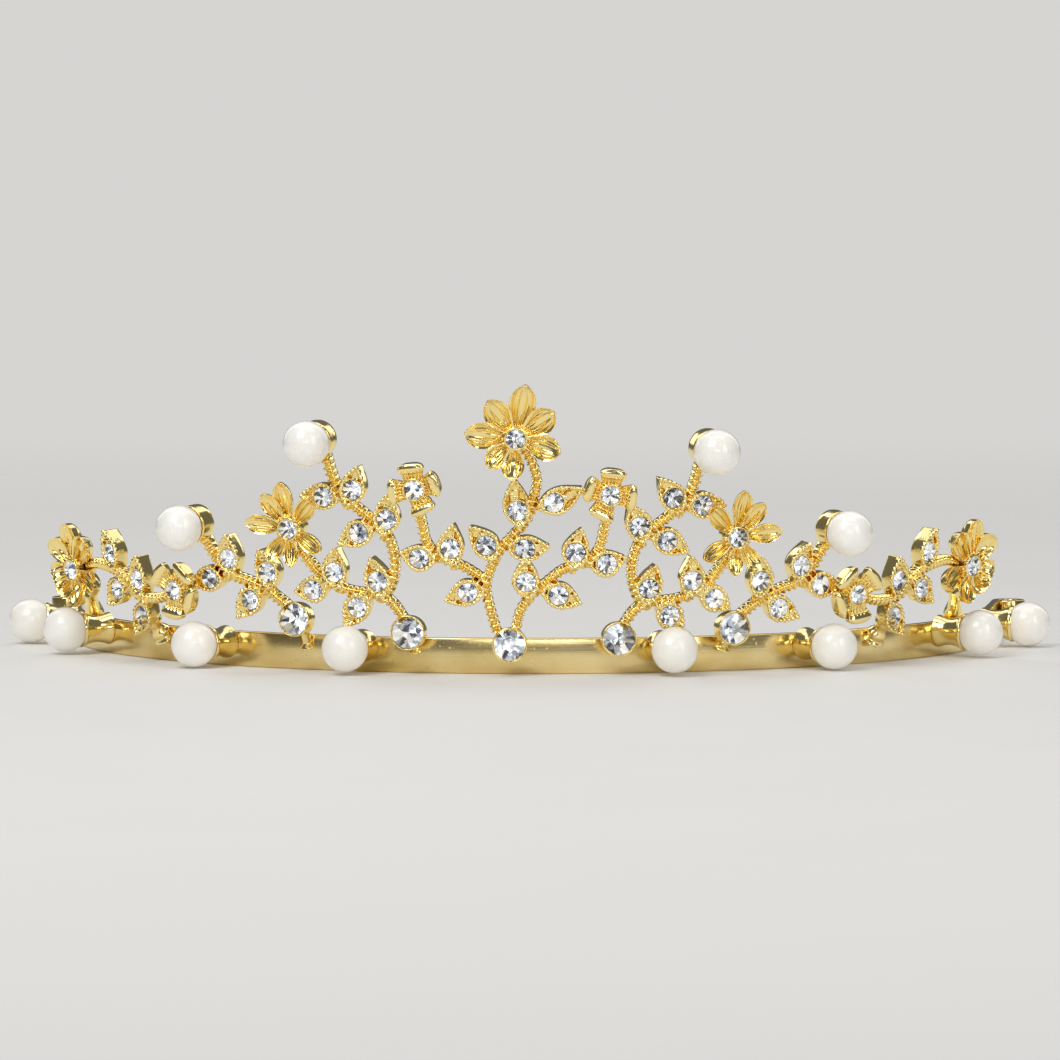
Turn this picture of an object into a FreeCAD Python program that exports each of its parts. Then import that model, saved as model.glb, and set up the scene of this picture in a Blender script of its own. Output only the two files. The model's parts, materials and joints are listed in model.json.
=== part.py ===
"""Bridal tiara: a flat gilt headband with seven cast vine sprays, nine flowers, drilled pearls on pegs and
faceted rhinestones in their seats.

Frame: +Z up, Z = 0 on the band's lower edge, origin at the centre of the band's front arc, front towards -Y.
A place on the tiara is (angle, height): degrees round the band from the front, positive towards +X, and
millimetres above the band's lower edge. The lattice stands on a cone that flares outwards with height.
"""

import FreeCAD, Part
import math
import os

import Sketcher
from FreeCAD import Placement, Rotation, Vector

# Driving dimensions, in millimetres and degrees.
DIMENSIONS = {
    "band_radius": 63.0,        # outer face of the front arc
    "band_thick": 1.0,
    "band_height": 4.6,
    "band_wrap": 85.0,          # the arc runs this far round each side, then a straight leg
    "leg_length": 18.0,
    "loop_bore": 1.3,           # radius of the hair-pin loop's hole
    "lattice_radius": 65.8,     # lattice front face at the height of the band's lower edge
    "lattice_flare": 8.0,       # lean of the lattice, outwards with height
    "lattice_shift": 0.45,      # degrees the middle sprays are off centre; the ends are off the other way
    "lattice_wave": 0.5,        # a side spray is this much high on the left and low on the right
    "stem_radius": 0.72,
    "branch_radius": 0.66,
    "stem_sink": 0.95,          # stem's centre line behind the lattice front face
    "leaf_half_width": 1.78,
    "leaf_base": 2.2,           # from the stone's centre back to the leaf's base
    "leaf_depth": 2.4,
    "leaf_rim": 0.42,
    "leaf_recess": 0.45,
    "stalk_radius": 0.55,
    "stalk_length": 1.1,
    "stone_radius": 1.25,
    "crystal_radius": 2.05,
    "seat_gap": 0.03,
    "stone_sink": 0.15,         # a stone's girdle below the rim of its seat
    "crystal_cup_wall": 0.25,
    "crystal_cup_depth": 2.4,
    "crystal_standoff": 4.0,    # rim of a crystal's cup in front of the band
    "foot_radius": 0.8,         # solder foot between the lattice and the band
    "foot_height": 3.1,
    "pearl_radius": 3.0,
    "pearl_drill": 0.5,
    "peg_radius": 0.45,
    "peg_reach": 0.6,           # peg's end past the pearl's centre
    "pearl_gap": 0.02,
    "pearl_standoff": 6.2,      # a lower pearl's centre in front of the band
    "seat_edge": 2.25,          # radius of the circle where a pearl leaves its cup
    "cup_foot": 2.2,
    "cup_waist": 1.8,
    "cup_rim": 2.5,
    "drum_rim": 1.3,            # rim of an upper pearl's cup in front of the lattice face
    "drum_back": 1.3,           # and its back behind that face
    "flower_lift": 0.2,         # back of a flower in front of the lattice face
    "flower_boss": 1.75,
    "boss_height": 1.5,
    "petal_thick": 0.9,
    "petal_rim": 0.4,
    "petal_recess": 0.35,
    "pad_radius": 1.3,          # solder pad under a flower
    "pad_back": 2.0,            # its back behind the lattice face
}

doc = FreeCAD.newDocument("bridal_tiara")
sheet = doc.addObject("Spreadsheet::Sheet", "dims")
for row, (alias, number) in enumerate(DIMENSIONS.items(), start=1):
    sheet.set(f"A{row}", alias)
    sheet.set(f"B{row}", str(number))
    sheet.setAlias(f"B{row}", alias)
doc.recompute()


def dim(alias):
    """A driving dimension, read back from the sheet."""
    return float(sheet.get(alias))


# ---------------------------------------------------------------- layout
# A leaf is (angle, height, heading, reach): where its stone sits, which way its tip points (0 away from the
# front, 90 up) and how far the tip lies from the stone. All but the trunk is repeated left and right.
SIDES = {"left": -1, "right": 1}
SHORT, REACH, LONG = 2.5, 3.1, 4.1

TRUNK_STEM = [(-1.9, 5.6), (-2.6, 8.5), (-3.0, 11.2), (-2.5, 13.6), (-1.4, 16.2), (0.2, 18.4),
              (1.6, 20.4), (2.1, 22.6), (2.6, 25.2), (1.9, 28.0)]
TRUNK_LEAVES = [(-2.9, 16.8, 118, REACH), (1.3, 16.5, -4, REACH), (0.5, 21.4, 103, LONG),
                (4.4, 22.6, 18, LONG), (1.4, 12.2, 102, REACH)]
ARM_FOOT = {"left": [(3.0, 12.0), (4.2, 13.0)], "right": [(0.2, 5.6), (0.8, 8.4), (2.2, 10.6), (4.0, 12.5)]}
ARM_STEM = [(5.6, 13.9), (8.2, 15.0), (9.5, 16.8), (9.9, 18.8), (10.3, 21.4)]
ARM_LEAVES = [(5.0, 10.6, -11, REACH), (6.8, 16.2, 84, REACH), (10.3, 14.8, 6, SHORT)]

INNER_STEM = [(12.2, 6.4), (13.8, 8.9), (16.0, 9.8), (18.6, 10.2), (21.2, 11.3), (23.0, 13.4), (24.6, 16.2)]
INNER_BRANCH = [(15.3, 9.3), (14.1, 12.5), (13.4, 15.2), (14.2, 17.9), (16.9, 20.7), (19.0, 22.4),
                (20.0, 25.4), (20.5, 27.8)]
INNER_LEAVES = [(15.1, 11.6, 86, REACH), (17.6, 8.1, -45, REACH), (20.1, 12.6, 82, REACH),
                (22.8, 10.2, -22, SHORT), (13.8, 19.7, 105, REACH), (17.0, 17.8, -16, REACH),
                (17.5, 23.4, 114, REACH), (20.9, 22.4, 11, REACH)]

OUTER_STEM = [(26.0, 7.5), (28.0, 9.2), (29.8, 10.4), (31.8, 11.2), (33.6, 11.8), (34.9, 13.1), (36.0, 14.8),
              (36.9, 16.6)]
OUTER_LEAVES = [(28.4, 12.3, 82, REACH), (31.0, 8.6, -36, REACH), (33.5, 14.0, 80, REACH),
                (36.4, 11.3, 0, REACH)]

END_STEM = [(41.0, 9.9), (42.6, 9.3), (44.6, 8.6), (46.8, 8.4), (49.0, 8.8), (50.8, 10.4), (52.6, 11.8),
            (55.0, 12.5), (57.8, 12.7)]
END_LEAVES = [(48.4, 10.9, 85, REACH), (48.2, 6.1, -63, REACH), (53.2, 14.3, 80, REACH),
              (52.7, 9.4, -28, REACH)]
END_FEET = [((47.9, 6.0), 47.9), ((61.2, 11.2), 65.5)]

CRYSTALS = {"centre": (-0.4, 4.0), "inner": (11.8, 5.1), "outer": (25.3, 6.3)}
UPPER_PEARLS = {"inner": (21.1, 29.9), "outer": (37.5, 18.6)}
LOWER_PEARLS = {"first": (17.9, 3.4), "second": (37.1, 3.1), "third": (61.9, 3.3), "fourth": (78.4, 3.1)}

# A flower is its place, with the degrees it is turned to face the front, and its petals, each (direction,
# length): 0 away from the front, 90 up.
CENTRE_DAISY = ((0.4, 31.0, 0),
                [(79, 7.3), (36, 6.2), (-16, 6.0), (-96, 5.3), (-136, 5.1), (173, 6.6), (125, 6.2)])
SIDE_DAISY = ((24.6, 18.4, 0),
              [(87, 6.3), (56, 5.6), (9, 5.9), (-55, 5.0), (-96, 4.9), (-152, 5.6), (138, 6.0)])
END_DAISY = ((61.0, 12.0, 14),
             [(104, 6.5), (60, 4.9), (-13, 3.3), (-58, 3.8), (-108, 5.0), (-155, 6.3), (139, 6.4)])
SMALL_BLOSSOM = ((10.3, 24.0, 0), [(84, 3.5), (-6, 3.4), (-115, 3.4), (162, 3.5)])
OUTER_BLOSSOM = ((40.7, 10.0, 0), [(40, 3.9), (133, 3.9), (-157, 3.9), (-81, 3.8)])
DAISY_HALF_WIDTH, DAISY_TILT = 1.75, 14.0
END_HALF_WIDTH, END_TILT = 1.9, 18.0
BLOSSOM_HALF_WIDTH, BLOSSOM_TILT = 1.9, 22.0
FUSE_TOLERANCE = 0.001


def frame_at(angle, height, radius, lean=0.0):
    """Frame with X along the band, Y up and Z outwards, leaning outwards with height by lean."""
    a, tip = math.radians(angle), math.radians(lean)
    along = Vector(math.cos(a), math.sin(a), 0)
    out = Vector(math.sin(a) * math.cos(tip), -math.cos(a) * math.cos(tip), -math.sin(tip))
    return Placement(Vector(radius * math.sin(a), -radius * math.cos(a), height),
                     Rotation(along, out.cross(along), out, "ZXY"))


def as_soldered(place, side):
    """A place's true angle and height on one side, as the sprays are soldered a little out of true."""
    angle = place[0] * side + dim("lattice_shift") * math.cos(math.radians(2 * place[0]))
    return angle, place[1] - dim("lattice_wave") * math.sin(math.radians(4 * angle))


def on_lattice(place, side=1, out=0.0):
    """Frame on the lattice's front face, or this far in front of it."""
    angle, height = as_soldered(place, side)
    radius = dim("lattice_radius") + height * math.tan(math.radians(dim("lattice_flare")))
    return frame_at(angle, height, radius, dim("lattice_flare")) * Placement(Vector(0, 0, out), Rotation())


def on_band(place, side=1, out=0.0):
    """Frame on the band's outer face, or this far in front of it."""
    return frame_at(place[0] * side, place[1], dim("band_radius") + out)


def placed(shape, frame):
    moved = shape.copy()
    moved.Placement = frame * moved.Placement
    return moved


# ---------------------------------------------------------------- document helpers
nodes = {}


def keep(obj, name):
    """Takes a finished object as the sub-part of that name."""
    obj.Label = name
    nodes[name] = obj
    return obj


def add(kind, name, **expressions):
    """A document object with its properties bound to the sheet."""
    obj = doc.addObject(kind, name)
    for prop, expression in expressions.items():
        obj.setExpression(prop, expression)
    return obj


def feature(name, shape, frame=None):
    """A sub-part whose shape is built by code."""
    obj = doc.addObject("Part::Feature", name)
    obj.Shape = shape
    if frame:
        obj.Placement = frame
    return keep(obj, name)


def new_sketch(body, name):
    sketch = body.newObject("Sketcher::SketchObject", name)
    plane = next(f for f in body.Origin.OriginFeatures if f.Role == "XY_Plane")
    sketch.AttachmentSupport = [(plane, "")]
    sketch.MapMode = "FlatFace"
    return sketch


def constrain(sketch, *args, expression=None):
    index = sketch.addConstraint(Sketcher.Constraint(*args))
    if expression:
        sketch.setExpression(f"Constraints[{index}]", expression)


def add_pad(body, sketch, name):
    pad = body.newObject("PartDesign::Pad", name)
    pad.Profile = sketch
    pad.setExpression("Length", "dims.band_height")
    return pad


# ---------------------------------------------------------------- headband
def arc_sketch(body):
    """The band's front arc, seen from above."""
    sketch = new_sketch(body, "arc_outline")
    outer_radius, thick = dim("band_radius"), dim("band_thick")
    start, end = math.radians(-90 - dim("band_wrap")), math.radians(-90 + dim("band_wrap"))
    axis = Vector(0, 0, 1)
    for radius in (outer_radius, outer_radius - thick):
        sketch.addGeometry(Part.ArcOfCircle(Part.Circle(Vector(0, 0, 0), axis, radius), start, end))
    for angle in (end, start):
        ray = Vector(math.cos(angle), math.sin(angle), 0)
        sketch.addGeometry(Part.LineSegment(ray * (outer_radius - thick), ray * outer_radius))
    outer, inner, right_end, left_end = range(4)
    for arc in (outer, inner):
        constrain(sketch, "Coincident", arc, 3, -1, 1)
    constrain(sketch, "Coincident", inner, 2, right_end, 1)
    constrain(sketch, "Coincident", outer, 2, right_end, 2)
    constrain(sketch, "Coincident", inner, 1, left_end, 1)
    constrain(sketch, "Coincident", outer, 1, left_end, 2)
    constrain(sketch, "Symmetric", outer, 1, outer, 2, -2)
    constrain(sketch, "PointOnObject", -1, 1, left_end)
    constrain(sketch, "Radius", outer, outer_radius, expression="dims.band_radius")
    constrain(sketch, "Radius", inner, outer_radius - thick, expression="dims.band_radius - dims.band_thick")
    constrain(sketch, "Angle", right_end, end, expression="(dims.band_wrap - 90) * 1 deg")
    return sketch


def turn_to_leg(sketch):
    """Turns a sketch so that its X runs along the right leg and the leg's outer face is at Y = -radius."""
    sketch.AttachmentOffset = Placement(Vector(0, 0, 0), Rotation(Vector(0, 0, 1), dim("band_wrap")))
    sketch.setExpression("AttachmentOffset.Rotation.Angle", "dims.band_wrap * 1 deg")


def leg_sketch(body):
    sketch = new_sketch(body, "leg_outline")
    turn_to_leg(sketch)
    length, outer, inner = dim("leg_length"), -dim("band_radius"), dim("band_thick") - dim("band_radius")
    corners = [Vector(0, outer, 0), Vector(length, outer, 0), Vector(length, inner, 0), Vector(0, inner, 0)]
    for corner, following in zip(corners, corners[1:] + corners[:1]):
        sketch.addGeometry(Part.LineSegment(corner, following))
    for line in range(4):
        constrain(sketch, "Coincident", line, 2, (line + 1) % 4, 1)
        constrain(sketch, "Horizontal" if line % 2 == 0 else "Vertical", line)
    constrain(sketch, "PointOnObject", 0, 1, -2)
    constrain(sketch, "DistanceX", 0, 1, 0, 2, length, expression="dims.leg_length")
    constrain(sketch, "DistanceY", 1, 1, 1, 2, inner - outer, expression="dims.band_thick")
    constrain(sketch, "DistanceY", 0, 1, -1, 1, -outer, expression="dims.band_radius")
    return sketch


def loop_sketch(body):
    """The strip's end curled outwards into a closed eye."""
    sketch = new_sketch(body, "loop_outline")
    turn_to_leg(sketch)
    bore, wall = dim("loop_bore"), dim("band_thick")
    centre = Vector(dim("leg_length"), -dim("band_radius") - bore, 0)
    for radius in (bore, bore + wall):
        sketch.addGeometry(Part.Circle(centre, Vector(0, 0, 1), radius))
    constrain(sketch, "Coincident", 0, 3, 1, 3)
    constrain(sketch, "Radius", 0, bore, expression="dims.loop_bore")
    constrain(sketch, "Radius", 1, bore + wall, expression="dims.loop_bore + dims.band_thick")
    constrain(sketch, "DistanceX", -1, 1, 0, 3, centre.x, expression="dims.leg_length")
    constrain(sketch, "DistanceY", 0, 3, -1, 1, -centre.y, expression="dims.band_radius + dims.loop_bore")
    return sketch


def make_headband():
    body = doc.addObject("PartDesign::Body", "headband")
    add_pad(body, arc_sketch(body), "arc")
    leg = add_pad(body, leg_sketch(body), "leg")
    loop = add_pad(body, loop_sketch(body), "loop")
    doc.recompute()
    mirror = body.newObject("PartDesign::Mirrored", "other_leg")
    mirror.Originals = [leg, loop]
    mirror.MirrorPlane = (next(f for f in body.Origin.OriginFeatures if f.Role == "YZ_Plane"), [""])
    body.Tip = mirror
    keep(body, "headband")


# ---------------------------------------------------------------- sprays
def pointed_oval(start, end, half_width, low, high):
    """Solid between two heights with a pointed oval outline along X."""
    base, tip = Vector(start, 0, low), Vector(end, 0, low)
    middle = (start + end) / 2
    edges = [Part.Arc(base, Vector(middle, side * half_width, low), tip).toShape() for side in (1, -1)]
    return Part.Face(Part.Wire(edges)).extrude(Vector(0, 0, high - low))


def leaf(reach):
    """Cast leaf along X with its stone's seat at the origin and its front face at Z = 0."""
    base, rim, depth = dim("leaf_base"), dim("leaf_rim"), dim("leaf_depth")
    recess, half_width = dim("leaf_recess"), dim("leaf_half_width")
    solid = pointed_oval(-base, reach, half_width, -depth, 0)
    solid = solid.cut(pointed_oval(rim * 2 - base, reach - rim * 2, half_width - rim, -recess, 1))
    stalk = Part.makeCylinder(dim("stalk_radius"), dim("stalk_length") + rim * 2,
                              Vector(-base - dim("stalk_length"), 0, -dim("stem_sink")), Vector(1, 0, 0))
    return solid.fuse(stalk).cut(stone_seat(dim("stone_radius")))


def stone_seat(radius):
    """Hole that takes a stone of that radius at the origin, opening towards +Z."""
    gap = dim("seat_gap")
    girdle = -dim("stone_sink") - gap
    funnel = Part.makeCone(radius * 0.3 + gap, radius + gap, radius, Vector(0, 0, girdle - radius))
    return funnel.fuse(Part.makeCylinder(radius + gap, radius, Vector(0, 0, girdle)))


def stem(places, side, size="stem_radius"):
    """Round stem in straight mitred lengths through lattice places, just behind the lattice face."""
    points = [on_lattice(place, side, -dim("stem_sink")).Base for place in places]
    profile = Part.Wire(Part.makeCircle(dim(size), points[0], points[1] - points[0]))
    mitred = 1
    return [Part.makePolygon(points).makePipeShell([profile], True, False, mitred)]


def leaves(rows, side):
    return [placed(leaf(reach), leaf_frame(place, heading, side)) for *place, heading, reach in rows]


def leaf_frame(place, heading, side):
    """Frame at a leaf's stone with X towards the leaf's tip."""
    turn = heading if side > 0 else 180 - heading
    return on_lattice(place, side) * Placement(Vector(0, 0, 0), Rotation(Vector(0, 0, 1), turn))


def flower_frame(place, side):
    """Frame on the back of a flower, with Z along the flower's axis."""
    turn = Placement(Vector(0, 0, 0), Rotation(Vector(0, 1, 0), -side * place[2]))
    return on_lattice(place, side, dim("flower_lift")) * turn


def flower_pad(place, side):
    height = dim("pad_back") + dim("flower_lift")
    pad = Part.makeCylinder(dim("pad_radius"), height, Vector(0, 0, -height))
    return placed(pad, flower_frame(place, side))


def foot(start, toward, side):
    """Solder foot from a point on the lattice to the band at the angle given by toward."""
    angle = as_soldered((toward, 0), side)[0]
    end = on_band((angle, dim("foot_height")), 1, -dim("band_thick")).Base
    strut = Part.makeCylinder(dim("foot_radius"), (end - start).Length, start, end - start)
    low, high = -dim("band_height"), 3 * dim("band_height")
    return strut.cut(Part.makeCylinder(dim("band_radius"), high, Vector(0, 0, low)))


def crystal_frame(place, side):
    """Frame at the rim of a crystal's cup."""
    return on_band(as_soldered(place, side), 1, dim("crystal_standoff"))


def crystal_cup(place, side):
    """Cup for a large crystal with its solder foot."""
    radius, depth = dim("crystal_radius") + dim("crystal_cup_wall"), dim("crystal_cup_depth")
    cup = Part.makeCylinder(radius, depth, Vector(0, 0, -depth)).cut(stone_seat(dim("crystal_radius")))
    frame = crystal_frame(place, side)
    return [placed(cup, frame), foot(frame.multVec(Vector(0, 0, -depth * 0.96)), place[0], side)]


def pearl_height():
    """A pearl's centre above the rim of its cup."""
    return math.sqrt(dim("pearl_radius") ** 2 - dim("seat_edge") ** 2)


def pearl_drum(place, side):
    """Upper pearl's cup on the lattice, with the peg that holds the pearl."""
    rim, back = dim("drum_rim"), dim("drum_back")
    centre = rim + pearl_height()
    drum = Part.makeCylinder(dim("cup_rim"), rim + back, Vector(0, 0, -back))
    drum = drum.cut(Part.makeSphere(dim("pearl_radius") + dim("pearl_gap"), Vector(0, 0, centre)))
    peg = Part.makeCylinder(dim("peg_radius"), centre + dim("peg_reach") + back / 2, Vector(0, 0, -back / 2))
    return placed(drum.fuse(peg), on_lattice(place, side))


def make_spray(name, pieces):
    body = pieces[0].multiFuse(pieces[1:], FUSE_TOLERANCE)
    if len(body.Solids) != 1:
        raise RuntimeError(f"{name}: {len(body.Solids)} separate solids")
    feature(name, body.Solids[0])


def make_sprays():
    centre = stem(TRUNK_STEM + [CENTRE_DAISY[0]], 1) + leaves(TRUNK_LEAVES, 1)
    centre += crystal_cup(CRYSTALS["centre"], 1) + [flower_pad(CENTRE_DAISY[0], 1)]
    for name, side in SIDES.items():
        centre += stem(ARM_FOOT[name] + ARM_STEM + [SMALL_BLOSSOM[0]], side) + leaves(ARM_LEAVES, side)
        centre.append(flower_pad(SMALL_BLOSSOM[0], side))
        inner = stem(INNER_STEM + [SIDE_DAISY[0]], side) + stem(INNER_BRANCH, side, "branch_radius")
        inner += leaves(INNER_LEAVES, side)
        inner += crystal_cup(CRYSTALS["inner"], side)
        inner += [pearl_drum(UPPER_PEARLS["inner"], side), flower_pad(SIDE_DAISY[0], side)]
        make_spray(f"inner_spray_{name}", inner)
        outer = stem(OUTER_STEM, side) + leaves(OUTER_LEAVES, side) + crystal_cup(CRYSTALS["outer"], side)
        outer.append(pearl_drum(UPPER_PEARLS["outer"], side))
        make_spray(f"outer_spray_{name}", outer)
        end = stem(END_STEM + [END_DAISY[0]], side) + leaves(END_LEAVES, side)
        end += [flower_pad(OUTER_BLOSSOM[0], side), flower_pad(END_DAISY[0], side)]
        for place, toward in END_FEET:
            end.append(foot(on_lattice(place, side, -dim("stem_sink")).Base, toward, side))
        make_spray(f"end_spray_{name}", end)
    make_spray("centre_spray", centre)


# ---------------------------------------------------------------- flowers
def petal(length, half_width, tilt):
    """Petal along X from the flower's centre, tip tilted forwards, with a raised rim."""
    rim, thick = dim("petal_rim"), dim("petal_thick")
    root, floor = dim("flower_boss") * 0.5, thick - dim("petal_recess")
    blade = pointed_oval(root, length, half_width, 0, thick)
    blade = blade.cut(pointed_oval(root + rim, length - rim * 2, half_width - rim, floor, thick + 1))
    return placed(blade, Placement(Vector(0, 0, 0), Rotation(Vector(0, 1, 0), -tilt), Vector(root, 0, 0)))


def flower(petals, half_width, tilt, side):
    """Flower on the plane Z = 0 with a boss that seats its stone."""
    height = dim("boss_height")
    body = Part.makeCylinder(dim("flower_boss"), height)
    for direction, length in petals:
        turn = direction if side > 0 else 180 - direction
        reach = petal_run(length, tilt)
        body = body.fuse(placed(petal(reach, half_width, tilt),
                                Placement(Vector(0, 0, 0), Rotation(Vector(0, 0, 1), turn))))
    clear = Part.makeCylinder(dim("flower_boss"), 6, Vector(0, 0, height))
    seat = placed(stone_seat(dim("stone_radius")), Placement(Vector(0, 0, height), Rotation()))
    return body.cut(clear).cut(seat)


def petal_run(length, tilt):
    """Length along a tilted petal that reaches this far out, seen from in front."""
    root = dim("flower_boss") * 0.5
    return root + (length - root) / math.cos(math.radians(tilt))


def make_flowers():
    daisy, blossom = (DAISY_HALF_WIDTH, DAISY_TILT), (BLOSSOM_HALF_WIDTH, BLOSSOM_TILT)
    end = (END_HALF_WIDTH, END_TILT)
    feature("centre_daisy", flower(CENTRE_DAISY[1], *daisy, 1), flower_frame(CENTRE_DAISY[0], 1))
    kinds = {"small_blossom": (SMALL_BLOSSOM, blossom), "side_daisy": (SIDE_DAISY, daisy),
             "outer_blossom": (OUTER_BLOSSOM, blossom), "end_daisy": (END_DAISY, end)}
    for kind, ((place, petals), form) in kinds.items():
        for name, side in SIDES.items():
            feature(f"{kind}_{name}", flower(petals, *form, side), flower_frame(place, side))


# ---------------------------------------------------------------- stones
def make_stone(name, radius):
    """Round faceted stone: culet, girdle and table are octagons, with the girdle at Z = -stone_sink."""
    levels = {"culet": (0.2, -0.85), "girdle": (1.0, 0.0), "table": (0.6, 0.4)}
    rings = []
    for level, (width, height) in levels.items():
        ring = add("Part::RegularPolygon", f"{name}_{level}", Circumradius=f"dims.{radius} * {width}")
        ring.Polygon = 8
        ring.setExpression(".Placement.Base.z", f"dims.{radius} * {height} - dims.stone_sink")
        rings.append(ring)
    stone = doc.addObject("Part::Loft", name)
    stone.Sections = rings
    stone.Solid = True
    stone.Ruled = True
    return stone


def make_stones():
    for name, place in CRYSTALS.items():
        if name == "centre":
            crystal = keep(make_stone("crystal_centre", "crystal_radius"), "crystal_centre")
            crystal.Placement = crystal_frame(place, 1)
            continue
        for side_name, side in SIDES.items():
            label = f"crystal_{name}_{side_name}"
            keep(make_stone(label, "crystal_radius"), label).Placement = crystal_frame(place, side)
    boss_top = Placement(Vector(0, 0, dim("boss_height")), Rotation())
    for label in [label for label in nodes if "daisy" in label or "blossom" in label]:
        stone = keep(make_stone(f"stone_{label}", "stone_radius"), f"stone_{label}")
        stone.Placement = nodes[label].Placement * boss_top
    doc.recompute()
    loose = nodes["stone_centre_daisy"].Shape.copy()
    loose.Placement = Placement()
    groups = {"centre": [(TRUNK_LEAVES, 1), (ARM_LEAVES, 1), (ARM_LEAVES, -1)]}
    for side_name, side in SIDES.items():
        groups[f"inner_{side_name}"] = [(INNER_LEAVES, side)]
        groups[f"outer_{side_name}"] = [(OUTER_LEAVES, side)]
        groups[f"end_{side_name}"] = [(END_LEAVES, side)]
    for group, members in groups.items():
        frames = [leaf_frame(place, heading, side) for rows, side in members for *place, heading, _ in rows]
        feature(f"leaf_stones_{group}", Part.makeCompound([placed(loose, frame) for frame in frames]))


# ---------------------------------------------------------------- pearls and their cups
def make_pearl(name, frame):
    """Pearl at its centre's frame, drilled from the back to past its centre."""
    ball = add("Part::Sphere", f"{name}_ball", Radius="dims.pearl_radius")
    drill = add("Part::Cylinder", f"{name}_drill", Radius="dims.pearl_drill",
                Height="dims.pearl_radius + dims.peg_reach + 0.3")
    drill.setExpression(".Placement.Base.z", "-dims.pearl_radius - 0.1")
    pearl = doc.addObject("Part::Cut", name)
    pearl.Base = ball
    pearl.Tool = drill
    pearl.Placement = frame
    keep(pearl, name)


def make_pearl_cup(name, frame):
    """Waisted drum from the band's face to a lower pearl, frame at the pearl's centre."""
    rim = "sqrt(dims.pearl_radius ^ 2 - dims.seat_edge ^ 2)"
    flare = add("Part::Cone", f"{name}_flare", Radius1="dims.cup_waist", Radius2="dims.cup_rim",
                Height=f"(dims.pearl_standoff - {rim}) / 2")
    flare.setExpression(".Placement.Base.z", f"-(dims.pearl_standoff + {rim}) / 2")
    base = add("Part::Cone", f"{name}_base", Radius1="dims.cup_foot", Radius2="dims.cup_waist",
               Height=f"(dims.pearl_standoff - {rim}) / 2 + 1")
    base.setExpression(".Placement.Base.z", "-dims.pearl_standoff - 1")
    seat = add("Part::Sphere", f"{name}_seat", Radius="dims.pearl_radius + dims.pearl_gap")
    peg = add("Part::Cylinder", f"{name}_peg", Radius="dims.peg_radius",
              Height="dims.pearl_standoff - 1 + dims.peg_reach")
    peg.setExpression(".Placement.Base.z", "1 - dims.pearl_standoff")
    band = add("Part::Cylinder", f"{name}_band", Radius="dims.band_radius", Height="dims.pearl_radius * 12")
    band.Placement = Placement(Vector(0, 6 * dim("pearl_radius"), 0), Rotation(Vector(1, 0, 0), 90))
    band.setExpression(".Placement.Base.z", "-dims.band_radius - dims.pearl_standoff")
    shell = doc.addObject("Part::MultiFuse", f"{name}_shell")
    shell.Shapes = [base, flare]
    seated = doc.addObject("Part::Cut", f"{name}_seated")
    seated.Base = shell
    seated.Tool = seat
    pegged = doc.addObject("Part::MultiFuse", f"{name}_pegged")
    pegged.Shapes = [seated, peg]
    cup = doc.addObject("Part::Cut", name)
    cup.Base = pegged
    cup.Tool = band
    cup.Placement = frame
    keep(cup, name)


def make_pearls():
    for side_name, side in SIDES.items():
        for name, place in LOWER_PEARLS.items():
            frame = on_band(place, side, dim("pearl_standoff"))
            make_pearl(f"pearl_{name}_{side_name}", frame)
            make_pearl_cup(f"pearl_cup_{name}_{side_name}", frame)
        for name, place in UPPER_PEARLS.items():
            frame = on_lattice(place, side, dim("drum_rim") + pearl_height())
            make_pearl(f"pearl_upper_{name}_{side_name}", frame)


# ---------------------------------------------------------------- build, check and write
make_headband()
make_sprays()
make_flowers()
make_stones()
make_pearls()
doc.recompute()

for obj in doc.Objects:
    if "Invalid" in obj.State or "Error" in obj.State:
        raise RuntimeError(f"{obj.Label}: {obj.State}")
os.makedirs("parts", exist_ok=True)
for name, obj in nodes.items():
    if obj.Shape.isNull() or not obj.Shape.isValid():
        raise RuntimeError(f"{name}: bad shape")
    obj.Shape.exportStep(f"parts/{name}.step")
    box, solids = obj.Shape.BoundBox, len(obj.Shape.Solids)
    print(f"{name}: {solids} solids, {box.XLength:.1f} x {box.YLength:.1f} x {box.ZLength:.1f} mm")
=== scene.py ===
"""Looks of the bridal tiara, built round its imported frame.

A cast gilt lattice on a satin gilt band, with pearls and rhinestones. Shells are made in millimetres
and turned into metres when they become objects. A place on the tiara is (angle, height): degrees round
the band from the front, positive towards +X, and mm above its lower edge.
"""
import json
import math
import random

import bmesh
import bpy
import numpy as np
from mathutils import Matrix, Vector


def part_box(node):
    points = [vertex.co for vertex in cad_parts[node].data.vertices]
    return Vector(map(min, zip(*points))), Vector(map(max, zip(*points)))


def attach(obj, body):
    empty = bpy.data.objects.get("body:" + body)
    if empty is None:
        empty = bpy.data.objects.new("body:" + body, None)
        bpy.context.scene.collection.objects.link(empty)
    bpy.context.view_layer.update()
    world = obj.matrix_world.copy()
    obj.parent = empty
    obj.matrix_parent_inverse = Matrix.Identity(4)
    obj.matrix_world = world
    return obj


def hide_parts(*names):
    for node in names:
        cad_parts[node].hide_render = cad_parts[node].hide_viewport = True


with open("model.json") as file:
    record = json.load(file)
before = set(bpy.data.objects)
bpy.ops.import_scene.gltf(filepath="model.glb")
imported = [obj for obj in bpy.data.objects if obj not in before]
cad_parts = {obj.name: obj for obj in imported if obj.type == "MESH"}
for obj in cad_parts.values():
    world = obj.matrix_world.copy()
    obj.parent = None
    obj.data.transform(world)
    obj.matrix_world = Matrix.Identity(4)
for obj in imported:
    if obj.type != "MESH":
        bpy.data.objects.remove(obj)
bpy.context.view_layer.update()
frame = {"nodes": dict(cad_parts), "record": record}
rng = random.Random(11)
MM = 0.001

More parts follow.
